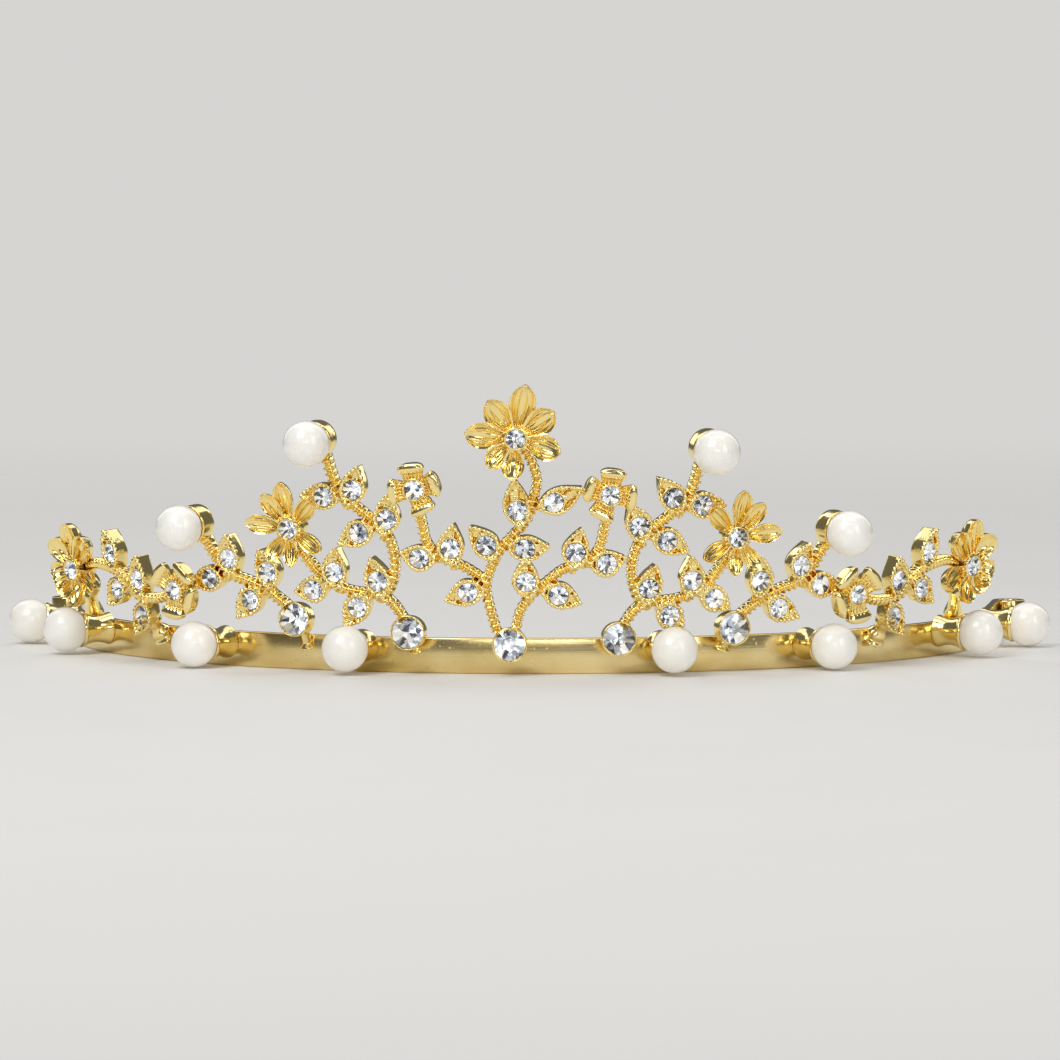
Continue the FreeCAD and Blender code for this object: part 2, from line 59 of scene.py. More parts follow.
# ---------------------------------------------------------------- sizes in mm, some from the frame
band_low, band_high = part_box("headband")
BAND_RADIUS = -band_low.y / MM
BAND_HEIGHT = band_high.z / MM
BAND_THICK = BAND_RADIUS - frame["record"]["mounts"][0]["dims"]["r_mm"]
BAND_WRAP = 85.0                    # degrees the arc runs round each side, then a straight leg
LEG_LENGTH = 18.0
LOOP_BORE = 1.3
FOOT_HEIGHT = 3.1                   # where a solder foot meets the band
LATTICE_RADIUS = BAND_RADIUS + 2.8
LATTICE_FLARE = math.radians(8.0)
LATTICE_SHIFT = 0.45                # degrees the middle is off centre; the ends are off the other way
LATTICE_WAVE = 0.5                  # a side spray is this much high on the left and low on the right
STEM_HALF_WIDTH, STEM_DEPTH = 0.64, 2.0
STEM_FACE, STEM_SINK = -0.1, 0.95   # a stem's front, and its middle, from the lattice face
RIB_PITCH, RIB_HEIGHT, RIB_SWELL = 0.82, 0.26, 0.22
LEAF_BASE = 2.2                     # from the stone's centre back to the leaf's base
LEAF_HALF_WIDTH, LEAF_DEPTH, LEAF_RIM, LEAF_FLOOR = 1.72, 2.3, 0.42, -0.5
LEAF_HOOK = 0.7                     # how far a leaf's tip is bent aside
STALK_RADIUS = 0.45
STONE_RADIUS = 1.25
CRYSTAL_RADIUS = 2.05
CRYSTAL_STANDOFF = 4.0              # from the band's outer face
STONE_SINK = 0.15                   # how far a stone sits into its seat
PEARL_RADIUS = 3.0
SEAT_EDGE = 2.25                    # radius of the circle where a pearl leaves its cup
SEAT_STEPS = (1, 0.8, 0.6, 0.4, 0.2)
PEARL_RISE = math.sqrt(PEARL_RADIUS ** 2 - SEAT_EDGE ** 2)
PEG_RADIUS, PEG_REACH = 0.45, 0.6
FLOWER_LIFT = 0.2                   # a flower's back from the lattice face
BOSS_HEIGHT = 1.5                   # from a flower's back to its stone
FULL_PETAL = 6.2                    # a shorter daisy petal is narrower in proportion
AXIS = 0.01                         # radius that stands for the axis of a turned shape
MERGE = 0.002                       # points closer than this become one
SPRAY_VOXEL, FLOWER_VOXEL = 0.11, 0.075

# ---------------------------------------------------------------- layout
# A leaf is (angle, height, heading, reach): where its stone sits, which way its tip points (0 away from
# the front, 90 up) and how far the tip lies from the stone. All but the trunk is on both sides.
SIDES = {"left": -1, "right": 1}
SHORT, REACH, LONG = 2.5, 3.1, 4.1

TRUNK_STEM = [(-1.9, 5.6), (-2.6, 8.5), (-3.0, 11.2), (-2.5, 13.6), (-1.4, 16.2), (0.2, 18.4),
              (1.6, 20.4), (2.1, 22.6), (2.6, 25.2), (1.9, 28.0)]
TRUNK_LEAVES = [(-2.9, 16.8, 118, REACH), (1.3, 16.5, -4, REACH), (0.5, 21.4, 103, LONG),
                (4.4, 22.6, 18, LONG), (1.4, 12.2, 102, REACH)]
ARM_FOOT = {"left": [(3.0, 12.0), (4.2, 13.0)],
            "right": [(0.2, 5.6), (0.8, 8.4), (2.2, 10.6), (4.0, 12.5)]}
ARM_STEM = [(5.6, 13.9), (8.2, 15.0), (9.5, 16.8), (9.9, 18.8), (10.3, 21.4)]
ARM_LEAVES = [(5.0, 10.6, -11, REACH), (6.8, 16.2, 84, REACH), (10.3, 14.8, 6, SHORT)]

INNER_STEM = [(12.2, 6.4), (13.8, 8.9), (16.0, 9.8), (18.6, 10.2), (21.2, 11.3), (23.0, 13.4),
              (24.6, 16.2)]
INNER_BRANCH = [(14.5, 9.2), (13.6, 11.2), (13.2, 13.2), (13.3, 15.4), (14.2, 17.9), (16.9, 20.7),
                (19.0, 22.4), (20.0, 25.4), (20.5, 27.8)]
INNER_LEAVES = [(15.1, 11.6, 86, REACH), (17.6, 8.1, -45, REACH), (20.1, 12.6, 82, REACH),
                (22.8, 10.2, -22, SHORT), (13.8, 19.7, 105, REACH), (17.0, 17.8, -16, REACH),
                (17.5, 23.4, 114, REACH), (20.9, 22.4, 11, REACH)]

OUTER_STEM = [(26.0, 7.5), (28.0, 9.2), (29.8, 10.4), (31.8, 11.2), (33.6, 11.8), (34.9, 13.1),
              (36.0, 14.8), (36.9, 16.6)]
OUTER_LEAVES = [(28.4, 12.3, 82, REACH), (31.0, 8.6, -36, REACH), (33.5, 14.0, 80, REACH),
                (36.4, 11.3, 0, REACH)]

END_STEM = [(41.0, 9.9), (42.6, 9.3), (44.6, 8.6), (46.8, 8.4), (49.0, 8.8), (50.8, 10.4), (52.6, 11.8),
            (55.0, 12.5), (57.8, 12.7)]
END_LEAVES = [(48.4, 10.9, 85, REACH), (48.2, 6.1, -63, REACH), (53.2, 14.3, 80, REACH),
              (52.7, 9.4, -28, REACH)]
# A foot runs from a place on the lattice to the band at an angle.
END_FEET = [((47.9, 6.0), 47.9), ((61.2, 11.2), 65.5)]

CRYSTALS = {"centre": (-0.4, 4.0), "inner": (11.8, 5.1), "outer": (25.3, 6.3)}
UPPER_PEARLS = {"inner": (21.1, 29.9), "outer": (37.5, 18.6)}

# A flower is its place, with the degrees it is turned to face the front, and its petals. A petal is
# (direction, length), with 0 away from the front and 90 up.
CENTRE_DAISY = ((0.4, 31.0, 0),
                [(79, 7.3), (36, 6.2), (-16, 6.0), (-96, 5.3), (-136, 5.1), (173, 6.6), (125, 6.2)])
SIDE_DAISY = ((24.6, 18.4, 0),
              [(87, 6.3), (56, 5.6), (9, 5.9), (-55, 5.0), (-96, 4.9), (-152, 5.6), (138, 6.0)])
END_DAISY = ((61.0, 12.0, 14),
             [(104, 6.5), (60, 4.9), (-13, 3.3), (-58, 3.8), (-108, 5.0), (-155, 6.3), (139, 6.4)])
SMALL_BLOSSOM = ((10.3, 24.0, 0), [(84, 3.5), (-6, 3.4), (-115, 3.4), (162, 3.5)])
OUTER_BLOSSOM = ((40.7, 10.0, 0), [(40, 3.9), (133, 3.9), (-157, 3.9), (-81, 3.8)])


# ---------------------------------------------------------------- places
def frame_at(angle, height, radius, lean=0.0):
    """4x4 frame with X along the band, Y up and Z outwards, leaning outwards with height by lean."""
    a = math.radians(angle)
    along = Vector((math.cos(a), math.sin(a), 0))
    out = Vector((math.sin(a) * math.cos(lean), -math.cos(a) * math.cos(lean), -math.sin(lean)))
    place = Matrix((along, out.cross(along), out)).transposed().to_4x4()
    place.translation = (radius * math.sin(a), -radius * math.cos(a), height)
    return place


def as_soldered(place, side):
    """A place's true angle and height on one side, as the sprays are soldered a little out of true."""
    angle = place[0] * side + LATTICE_SHIFT * math.cos(math.radians(2 * place[0]))
    return angle, place[1] - LATTICE_WAVE * math.sin(math.radians(4 * angle))


def mirrored(direction, side):
    """A direction as it is on that side: 0 points away from the front on both."""
    return direction if side > 0 else 180 - direction


def on_lattice(place, side, out=0.0, spin=0.0):
    """Frame on the lattice's front face, or out in front of it, with X turned anticlockwise by spin."""
    angle, height = as_soldered(place, side)
    radius = LATTICE_RADIUS + height * math.tan(LATTICE_FLARE)
    turn = Matrix.Rotation(math.radians(spin), 4, "Z")
    return frame_at(angle, height, radius, LATTICE_FLARE) @ Matrix.Translation((0, 0, out)) @ turn


def on_band(angle, height, out):
    """Frame at a distance out from the band's outer face."""
    return frame_at(angle, height, BAND_RADIUS + out)


def between(start, end):
    """Frame at start with Z towards end."""
    return Matrix.Translation(start) @ (end - start).to_track_quat("Z", "Y").to_matrix().to_4x4()


# ---------------------------------------------------------------- shells, each (points, faces)
def loft(rings, closed=False):
    """Shell through rings of points, capped at both ends unless it closes on itself."""
    rings = np.asarray(rings, float)
    count, size = rings.shape[:2]
    i = np.arange(count if closed else count - 1)[:, None]
    j = np.arange(size)[None, :]
    following, beside = (i + 1) % count, (j + 1) % size
    quads = np.stack([i * size + j, i * size + beside,
                      following * size + beside, following * size + j], -1)
    faces = quads.reshape(-1, 4).tolist()
    if not closed:
        faces.append(list(range(size))[::-1])
        faces.append(list(range((count - 1) * size, count * size)))
    return rings.reshape(-1, 3), faces


def revolve(profile, segments=48, closed=False):
    """Shell of a (radius, height) profile turned about Z."""
    turns = np.linspace(0, 2 * math.pi, segments, endpoint=False)
    radius, height = np.asarray(profile, float).T
    rings = np.stack([np.outer(radius, np.cos(turns)), np.outer(radius, np.sin(turns)),
                      np.repeat(height[:, None], segments, 1)], -1)
    return loft(rings, closed)


def bead(radius, centre):
    """Small ball, cut flat at its poles."""
    angles = np.linspace(-0.46 * math.pi, 0.46 * math.pi, 7)
    points, faces = revolve(np.stack([np.cos(angles), np.sin(angles)], -1) * radius, 10)
    return points + np.asarray(centre, float), faces


def ring(radius, thick, height):
    """Round wire ring about Z."""
    turns = np.linspace(0, 2 * math.pi, 10, endpoint=False)
    wire = np.stack([radius + thick * np.cos(turns), height + thick * np.sin(turns)], -1)
    return revolve(wire, 40, closed=True)


def rod(radius, start, end):
    start, end = Vector(start), Vector(end)
    return moved(revolve([(radius, 0), (radius, (end - start).length)], 20), between(start, end))


def moved(shell, place):
    points, faces = shell
    matrix = np.array(place)
    return points @ matrix[:3, :3].T + matrix[:3, 3], faces


def joined(shells):
    """One (points, faces) from several shells."""
    points, faces, count = [], [], 0
    for shell_points, shell_faces in shells:
        points.append(shell_points)
        faces.extend([[index + count for index in face] for face in shell_faces])
        count += len(shell_points)
    return np.concatenate(points), faces


def spline(places, step):
    """Evenly spaced points on a smooth curve through the places."""
    ends = [2 * np.array(places[0]) - places[1], 2 * np.array(places[-1]) - places[-2]]
    knots = np.array([ends[0], *places, ends[1]], float)
    t = np.linspace(0, 1, 24, endpoint=False)[:, None]
    spans = []
    for a, b, c, d in zip(knots, knots[1:], knots[2:], knots[3:]):
        square, cube = 2 * a - 5 * b + 4 * c - d, 3 * b - a - 3 * c + d
        spans.append(0.5 * (2 * b + (c - a) * t + square * t ** 2 + cube * t ** 3))
    dense = np.concatenate(spans + [knots[-2:-1]])
    lengths = np.concatenate([[0], np.cumsum(np.linalg.norm(np.diff(dense, axis=0), axis=1))])
    even = np.linspace(0, lengths[-1], max(4, int(lengths[-1] / step)))
    return np.stack([np.interp(even, lengths, dense[:, k]) for k in range(dense.shape[1])], -1)


# ---------------------------------------------------------------- pieces of a spray
def stem(places, side):
    """Cast stem on the lattice: a deep strip with cross ribs on its front and sides."""
    halfway_up, step = 15, RIB_PITCH / 6
    true = [as_soldered(place, side) for place in places]
    radius = LATTICE_RADIUS + halfway_up * math.tan(LATTICE_FLARE)
    arc = [(math.radians(angle) * radius, height) for angle, height in true]
    path = spline(arc, step)
    angle, height = path[:, 0] / radius, path[:, 1]
    reach = LATTICE_RADIUS + height * math.tan(LATTICE_FLARE)
    centre = np.stack([reach * np.sin(angle), -reach * np.cos(angle), height], -1)
    out = np.stack([np.sin(angle) * math.cos(LATTICE_FLARE), -np.cos(angle) * math.cos(LATTICE_FLARE),
                    np.full_like(angle, -math.sin(LATTICE_FLARE))], -1)
    ahead = np.gradient(centre, axis=0)
    ahead /= np.linalg.norm(ahead, axis=1)[:, None]
    beside = np.cross(out, ahead)
    travel = np.arange(len(path)) * step
    rib = np.cos(2 * math.pi * travel / RIB_PITCH)[:, None]
    turns = np.linspace(0, 2 * math.pi, 24, endpoint=False)
    across = np.sign(np.cos(turns)) * np.abs(np.cos(turns)) ** 0.75 * STEM_HALF_WIDTH
    depth = (np.sign(np.sin(turns)) * np.abs(np.sin(turns)) ** 0.8 - 1) * STEM_DEPTH / 2
    ribbed = rib * np.clip(np.sin(turns) + 0.6, 0, 1)[None, :] ** 0.6
    across = across[None, :] * (1 + RIB_SWELL * ribbed)
    depth = depth[None, :] + STEM_FACE + RIB_HEIGHT * ribbed
    rings = centre[:, None, :] + beside[:, None, :] * across[..., None]
    return [loft(rings + out[:, None, :] * depth[..., None])]


def leaf(reach, bend):
    """Cast leaf with its stone's seat at the origin and its tip along X, hooked sideways by bend.

    Its parts are a boat-shaped body, a ring round the stone, a beaded rim and a few grains at the tip.
    """
    u = np.linspace(0, 1, 44)
    x = -LEAF_BASE + u * (LEAF_BASE + reach)
    half = LEAF_HALF_WIDTH * np.sin(math.pi * u ** 0.86) ** 0.9 + 0.06
    hook = bend * np.clip(x / reach, 0, 1) ** 2
    rings = []
    for along, wide, shift in zip(x, half, hook):
        inner = max(wide - LEAF_RIM, 0.02)
        wall = [(wide * 0.5, -LEAF_DEPTH), (wide * 0.84, -LEAF_DEPTH * 0.88),
                (wide * 0.98, -LEAF_DEPTH * 0.6), (wide, -0.25), (wide * 0.5 + inner * 0.5, -0.02)]
        floor = [(inner * k, seat_depth(along, inner * k)) for k in np.linspace(1, -1, 13)]
        other_wall = [(-y, z) for y, z in wall[::-1]]
        outline = other_wall[-1:] + wall + floor + other_wall[:-1]
        rings.append([(along, y + shift, z) for y, z in outline])
    shells = [loft(rings), ring(1.41, 0.16, -0.24)]
    bead_pitch = 0.56
    for edge in (1, -1):
        rim = np.stack([x, edge * (half - LEAF_RIM / 2) + hook], -1)[2:-1]
        for px, py in spline(rim.tolist(), bead_pitch):
            size = rng.uniform(0.24, 0.34)
            shells.append(bead(size, (px, py, -0.06 + rng.uniform(-0.05, 0.05))))
    for px in np.arange(1.75, reach - 0.35, 0.45):
        sway = bend * (px / reach) ** 2
        for py in (-0.36, 0.04, 0.42):
            shells.append(bead(rng.uniform(0.2, 0.3), (px + rng.uniform(-0.1, 0.1), py + sway, -0.36)))
    return shells


def seat_depth(x, y):
    """Height of a leaf's floor, with a cone sunk under the stone."""
    return LEAF_FLOOR - max(0.0, STONE_RADIUS - 0.01 - math.hypot(x, y))


def leaves(rows, side):
    shells = []
    for angle, height, heading, reach in rows:
        place = on_lattice((angle, height), side, 0, mirrored(heading, side))
        bend = rng.choice((-LEAF_HOOK, LEAF_HOOK)) * rng.uniform(0.7, 1.1)
        shells += [moved(shell, place) for shell in leaf(reach, bend)]
        stalk = rod(STALK_RADIUS, (-LEAF_BASE - 0.75, 0, -STEM_SINK), (-LEAF_BASE + 0.8, 0, -STEM_SINK))
        shells.append(moved(stalk, place))
    return shells


def strut(start, toward, side, radius=0.6, lumps=0.0):
    """Solder foot from a point on the lattice to the band, spread out at its end."""
    end = on_band(as_soldered((toward, 0), side)[0], FOOT_HEIGHT, 0.02).translation
    length = (end - start).length
    profile = [(radius * (1 - lumps * math.cos(4 * math.pi * u)), length * u)
               for u in np.linspace(0, 0.85, 14)]
    profile += [(radius + 0.5, length - 0.15), (radius + 0.6, length)]
    return moved(revolve(profile, 24), between(start, end))


def crystal_place(name, side):
    return on_band(*as_soldered(CRYSTALS[name], side), CRYSTAL_STANDOFF)


def crystal_cup(name, side):
    """Collet for a large crystal, open in front, with its solder foot."""
    outer, seat = CRYSTAL_RADIUS + 0.22, CRYSTAL_RADIUS + 0.02
    profile = [(AXIS, -2.4), (outer * 0.86, -2.4), (outer * 0.97, -1.9), (outer, -1.0), (outer, -0.1),
               (outer - 0.06, 0.06), (seat + 0.04, 0.07), (seat, -0.12), (seat * 0.55, -1.3),
               (AXIS, -2.05)]
    place = crystal_place(name, side)
    foot = strut(place @ Vector((0, 0, -2.2)), CRYSTALS[name][0], side)
    return [moved(revolve(profile), place), foot]


def pearl_seat(gap, centre=0.0):
    """Profile of the hollow round a pearl at that height, from its edge inwards."""
    radius = PEARL_RADIUS + gap
    return [(SEAT_EDGE * k, centre - math.sqrt(radius ** 2 - (SEAT_EDGE * k) ** 2)) for k in SEAT_STEPS]


def pearl_drum(name, side):
    """Cup of an upper pearl with the peg that holds the pearl."""
    rim, back, wide = 1.3, -1.3, 2.5
    centre = rim + PEARL_RISE
    seat = pearl_seat(0.02, centre)
    peg = [(PEG_RADIUS, seat[-1][1]), (PEG_RADIUS, centre + PEG_REACH), (AXIS, centre + PEG_REACH)]
    profile = [(AXIS, back), (wide * 0.8, back), (wide * 0.96, back + 0.3), (wide, back + 0.9),
               (wide, rim - 0.15), (wide - 0.12, rim)] + seat + peg
    return [moved(revolve(profile), on_lattice(UPPER_PEARLS[name], side))]


def flower_place(place, side, direction=0.0):
    """Frame on the back of a flower with Z along its axis and X turned to a petal's direction."""
    turn = Matrix.Rotation(math.radians(-side * place[2]), 4, "Y")
    spin = Matrix.Rotation(math.radians(mirrored(direction, side)), 4, "Z")
    return on_lattice(place, side, FLOWER_LIFT) @ turn @ spin


def pad(place, side):
    """Solder pad under a flower."""
    return [moved(revolve([(1.3, -2.1), (1.3, 0.1)], 24), flower_place(place, side))]


# ---------------------------------------------------------------- pieces of a flower
def slab(length, wide, top, thick, root=0.9):
    """Closed petal along X: half width wide(u), front surface top(u, v), this thick."""
    v = np.linspace(-1, 1, 21)
    rings = []
    for u in np.linspace(0, 1, 40):
        x, half = root + (length - root) * u, wide(u)
        front = [(x, half * k, top(u, k)) for k in v]
        behind = [(x, half * k * 0.93, top(u, k) - thick * (1 - 0.35 * abs(k) ** 3)) for k in v[::-1]]
        rings.append(front + behind)
    return loft(rings)


def daisy_petal(length, half, lift=1.0, thick=0.75, taper=0.72):
    """Leaf-shaped petal: raised rim, deep cup, a crease along the middle and ridges at its throat."""
    half = half * min(1.0, length / FULL_PETAL)

    def wide(u):
        if u > 0.6:
            return half * max(0.04, 1 - ((u - 0.6) / 0.4) ** 2.1) ** taper
        return half * (0.34 + 0.66 * math.sin(math.pi / 2 * u / 0.6) ** 1.5)

    def top(u, v):
        edge = max(abs(v), (u - 0.45) / 0.55)
        rise = 0.85 + lift * u ** 1.4
        cup = 0.6 * v * v * math.sin(math.pi * min(1.0, u * 0.85 + 0.12)) - 0.3 * math.sin(math.pi * u)
        rim = 0.45 * max(0.0, edge) ** 6
        crease = -0.26 * math.exp(-(v / 0.12) ** 2) * math.sin(math.pi * min(1.0, u * 1.1)) ** 0.6
        ridges = 0.24 * math.cos(5 * math.pi * v) * max(0.0, 1 - u / 0.9) ** 0.5
        return rise + cup + rim + crease + ridges

    return slab(length, wide, top, thick)


def end_petal(length, half):
    """Petal of an end daisy: blunter and thicker than the others, and as wide when it is short."""
    return daisy_petal(length, half * FULL_PETAL / min(length, FULL_PETAL), 1.1, 1.2, 0.42)


def blossom_petal(length, half):
    """Short trumpet lobe: a fluted throat that ends in a thick cushion of a lip."""
    def wide(u):
        if u > 0.72:
            return half * max(0.0, 1 - ((u - 0.72) / 0.3) ** 2.6) ** 0.5
        return half * (0.68 + 0.32 * (u / 0.72) ** 1.8)

    def top(u, v):
        lip = 0.55 * max(0.0, 1 - ((u - 0.78) / 0.3) ** 2) ** 0.5
        flutes = 0.26 * math.cos(6 * math.pi * v) * max(0.0, 1 - u / 0.6) ** 0.35
        return 1.1 + 0.5 * u + lip + flutes - 0.4 * v ** 4 * min(1.0, u * 2) - 0.8 * max(0.0, u - 0.75)

    return slab(length, wide, top, 1.5)


def boss(wide, grains):
    """Middle of a flower with a sunk seat for its stone and a ring of grains."""
    girdle = BOSS_HEIGHT - STONE_SINK
    profile = [(AXIS, 0), (wide, 0), (wide, 0.6), (wide - 0.12, 1.0), (1.3, girdle - 0.05),
               (0.62, girdle - 0.75), (AXIS, girdle - 1.3)]
    shells = [revolve(profile), ring(1.38, 0.15, girdle - 0.02)]
    for turn in np.linspace(0, 2 * math.pi, grains, endpoint=False):
        shells.append(bead(0.24, (1.72 * math.cos(turn), 1.72 * math.sin(turn), girdle - 0.28)))
    return shells


def flower(kind, half, place, petals, side):
    """Shells of a flower whose petals are of that kind."""
    middle = boss(1.42, 0) if kind is blossom_petal else boss(1.75, 14)
    shells = [moved(shell, flower_place(place, side)) for shell in middle]
    for direction, length in petals:
        shells.append(moved(kind(length, half), flower_place(place, side, direction)))
    return shells


# ---------------------------------------------------------------- objects
def new_object(name, shell):
    """Object in metres from a shell in millimetres."""
    points, faces = shell
    mesh = bpy.data.meshes.new(name)
    mesh.from_pydata((points * MM).tolist(), [], faces)
    mesh.update()
    obj = bpy.data.objects.new(name, mesh)
    bpy.context.scene.collection.objects.link(obj)
    mesh.polygons.foreach_set("use_smooth", [True] * len(mesh.polygons))
    return obj


def cleaned(obj):
    """Merges doubled points and makes all faces look outwards."""
    work = bmesh.new()
    work.from_mesh(obj.data)
    bmesh.ops.remove_doubles(work, verts=work.verts, dist=MERGE * MM)
    bmesh.ops.recalc_face_normals(work, faces=work.faces)
    work.to_mesh(obj.data)
    work.free()
    return obj


def cast(name, shells, voxel):
    """One cast piece: the union of its shells, remeshed at that voxel size in mm and softened."""
    points, faces = joined(shells)
    rough = new_object(f"{name}_rough", (points / MM, faces))
    remesh = rough.modifiers.new("union", "REMESH")
    remesh.mode = "VOXEL"
    remesh.voxel_size = voxel
    remesh.use_smooth_shade = True
    soften = rough.modifiers.new("soften", "SMOOTH")
    soften.factor = 0.5
    soften.iterations = 2
    ready = rough.evaluated_get(bpy.context.evaluated_depsgraph_get())
    mesh = bpy.data.meshes.new_from_object(ready)
    mesh.name = name
    bpy.data.objects.remove(rough)
    mesh.transform(Matrix.Scale(MM, 4))
    obj = bpy.data.objects.new(name, mesh)
    bpy.context.scene.collection.objects.link(obj)
    return obj


def place_piece(obj, nodes, slot, *materials):
    """Rides the piece on the tiara in place of its CAD nodes, with its materials."""
    for material in materials:
        obj.data.materials.append(material)
    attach(obj, "root")
    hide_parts(*nodes)
    return obj


# ---------------------------------------------------------------- materials
def new_material(name):
    material = bpy.data.materials.new(name)
    material.use_nodes = True
    tree = material.node_tree
    shader = tree.nodes["Principled BSDF"]
    return material, tree, shader


def link(tree, source, target):
    tree.links.new(source, target)


def noise(tree, scale, detail=3.0, vector=None):
    node = tree.nodes.new("ShaderNodeTexNoise")
    node.inputs["Scale"].default_value = scale
    node.inputs["Detail"].default_value = detail
    if vector is None:
        vector = tree.nodes.new("ShaderNodeTexCoord").outputs["Object"]
    link(tree, vector, node.inputs["Vector"])
    return node.outputs["Fac"]


def ramp(tree, source, stops):
    """Colour ramp with (position, colour) stops."""
    node = tree.nodes.new("ShaderNodeValToRGB")
    elements = node.color_ramp.elements
    while len(elements) < len(stops):
        elements.new(0.5)
    for element, (position, colour) in zip(elements, stops):
        element.position = position
        element.color = (*colour, 1.0)
    link(tree, source, node.inputs["Fac"])
    return node.outputs["Color"]


def remap(tree, source, low, high):
    node = tree.nodes.new("ShaderNodeMapRange")
    node.inputs["To Min"].default_value = low
    node.inputs["To Max"].default_value = high
    link(tree, source, node.inputs["Value"])
    return node.outputs["Result"]


def bump(tree, source, strength, distance, before=None):
    node = tree.nodes.new("ShaderNodeBump")
    node.inputs["Strength"].default_value = strength
    node.inputs["Distance"].default_value = distance
    link(tree, source, node.inputs["Height"])
    if before is not None:
        link(tree, before, node.inputs["Normal"])
    return node.outputs["Normal"]


def cast_gold():
    """Bright cast gilding with painted shade: pale on the crests, deep orange in the casting's
    recesses.
    """
    material, tree, shader = new_material("cast_gilt")
    # Painted shade: ambient occlusion turns the recesses deep orange and leaves the crests pale
    hollow = tree.nodes.new("ShaderNodeAmbientOcclusion")
    hollow.inputs["Distance"].default_value = 0.9 * MM
    hollow.samples = 6
    colour = ramp(tree, hollow.outputs["AO"], [(0.22, (0.62, 0.31, 0.02)), (0.55, (0.95, 0.66, 0.13)),
                                              (0.9, (1.0, 0.82, 0.37))])
    link(tree, colour, shader.inputs["Base Color"])
    shader.inputs["Metallic"].default_value = 1.0
    link(tree, remap(tree, noise(tree, 900.0), 0.06, 0.24), shader.inputs["Roughness"])
    grain = bump(tree, noise(tree, 2600.0, 4.0), 0.3, 0.04 * MM)
    link(tree, bump(tree, noise(tree, 700.0, 2.0), 0.3, 0.1 * MM, grain), shader.inputs["Normal"])
    return material


def band_gold():
    """Satin gilding of the strip: cloudy colour, fine marks along the band and a few small pits."""
    material, tree, shader = new_material("band_gilt")
    split = tree.nodes.new("ShaderNodeSeparateXYZ")
    link(tree, tree.nodes.new("ShaderNodeTexCoord").outputs["Object"], split.inputs["Vector"])
    minus = tree.nodes.new("ShaderNodeMath")
    minus.operation = "MULTIPLY"
    minus.inputs[1].default_value = -1.0
    link(tree, split.outputs["Y"], minus.inputs[0])
    round_band = tree.nodes.new("ShaderNodeMath")
    round_band.operation = "ARCTAN2"
    link(tree, split.outputs["X"], round_band.inputs[0])
    link(tree, minus.outputs[0], round_band.inputs[1])
    strip = tree.nodes.new("ShaderNodeCombineXYZ")
    link(tree, round_band.outputs[0], strip.inputs["X"])
    link(tree, split.outputs["Z"], strip.inputs["Z"])
    stretch = tree.nodes.new("ShaderNodeVectorMath")
    stretch.operation = "MULTIPLY"
    stretch.inputs[1].default_value = (4.0, 1.0, 5200.0)
    link(tree, strip.outputs["Vector"], stretch.inputs[0])
    marks = noise(tree, 1.0, 5.0, stretch.outputs["Vector"])
    mottle = noise(tree, 70.0, 5.0)
    pits = noise(tree, 2200.0, 2.0)
    clouds = ramp(tree, mottle, [(0.35, (0.66, 0.48, 0.16)), (0.65, (0.97, 0.80, 0.42))])
    link(tree, clouds, shader.inputs["Base Color"])
    shader.inputs["Metallic"].default_value = 1.0
    link(tree, remap(tree, marks, 0.10, 0.26), shader.inputs["Roughness"])
    fine = bump(tree, marks, 0.25, 0.02 * MM)
    hole = ramp(tree, pits, [(0.26, (0, 0, 0)), (0.33, (1, 1, 1))])
    link(tree, bump(tree, hole, 0.5, 0.04 * MM, fine), shader.inputs["Normal"])
    return material


def pearl_skin():
    """Glass pearl: warm white body, painted shade that greys and cools it towards the edge, a faint
    painted glow, almost smooth.
    """
    material, tree, shader = new_material("pearl")
    # Painted shade: the colour greys and cools towards the pearl's edge as seen from the camera
    edge_shade = tree.nodes.new("ShaderNodeLayerWeight")
    edge_shade.inputs["Blend"].default_value = 0.35
    tint = ramp(tree, edge_shade.outputs["Facing"], [(0.0, (0.97, 0.95, 0.90)), (0.55, (0.95, 0.92, 0.86)),
                                                (0.9, (0.88, 0.86, 0.83))])
    cloud = ramp(tree, noise(tree, 160.0, 2.0), [(0.3, (0.97, 0.96, 0.93)), (0.7, (1, 1, 1))])
    mix = tree.nodes.new("ShaderNodeMix")
    mix.data_type = "RGBA"
    mix.blend_type = "MULTIPLY"
    mix.inputs["Factor"].default_value = 1.0
    link(tree, tint, mix.inputs["A"])
    link(tree, cloud, mix.inputs["B"])
    link(tree, mix.outputs["Result"], shader.inputs["Base Color"])
    shader.inputs["Roughness"].default_value = 0.28
    shader.inputs["Subsurface Weight"].default_value = 0.25
    shader.inputs["Subsurface Radius"].default_value = (1.2 * MM, 0.9 * MM, 0.7 * MM)
    shader.inputs["Coat Weight"].default_value = 0.5
    shader.inputs["Coat Roughness"].default_value = 0.12
    # Painted glow: a faint warm emission brightens the pearl as if it were more lit
    shader.inputs["Emission Color"].default_value = (1.0, 0.96, 0.90, 1.0)
    shader.inputs["Emission Strength"].default_value = 0.07
    link(tree, bump(tree, noise(tree, 1500.0, 3.0), 0.06, 0.02 * MM), shader.inputs["Normal"])
    return material


def crystal_glass():
    """Clear cut glass of a stone's crown."""
    material, tree, shader = new_material("rhinestone")
    tint = ramp(tree, noise(tree, 300.0, 1.0), [(0.3, (0.96, 0.98, 1.0)), (0.7, (1, 1, 1))])
    link(tree, tint, shader.inputs["Base Color"])
    shader.inputs["Transmission Weight"].default_value = 1.0
    shader.inputs["IOR"].default_value = 1.58
    link(tree, remap(tree, noise(tree, 4000.0), 0.0, 0.02), shader.inputs["Roughness"])
    return material


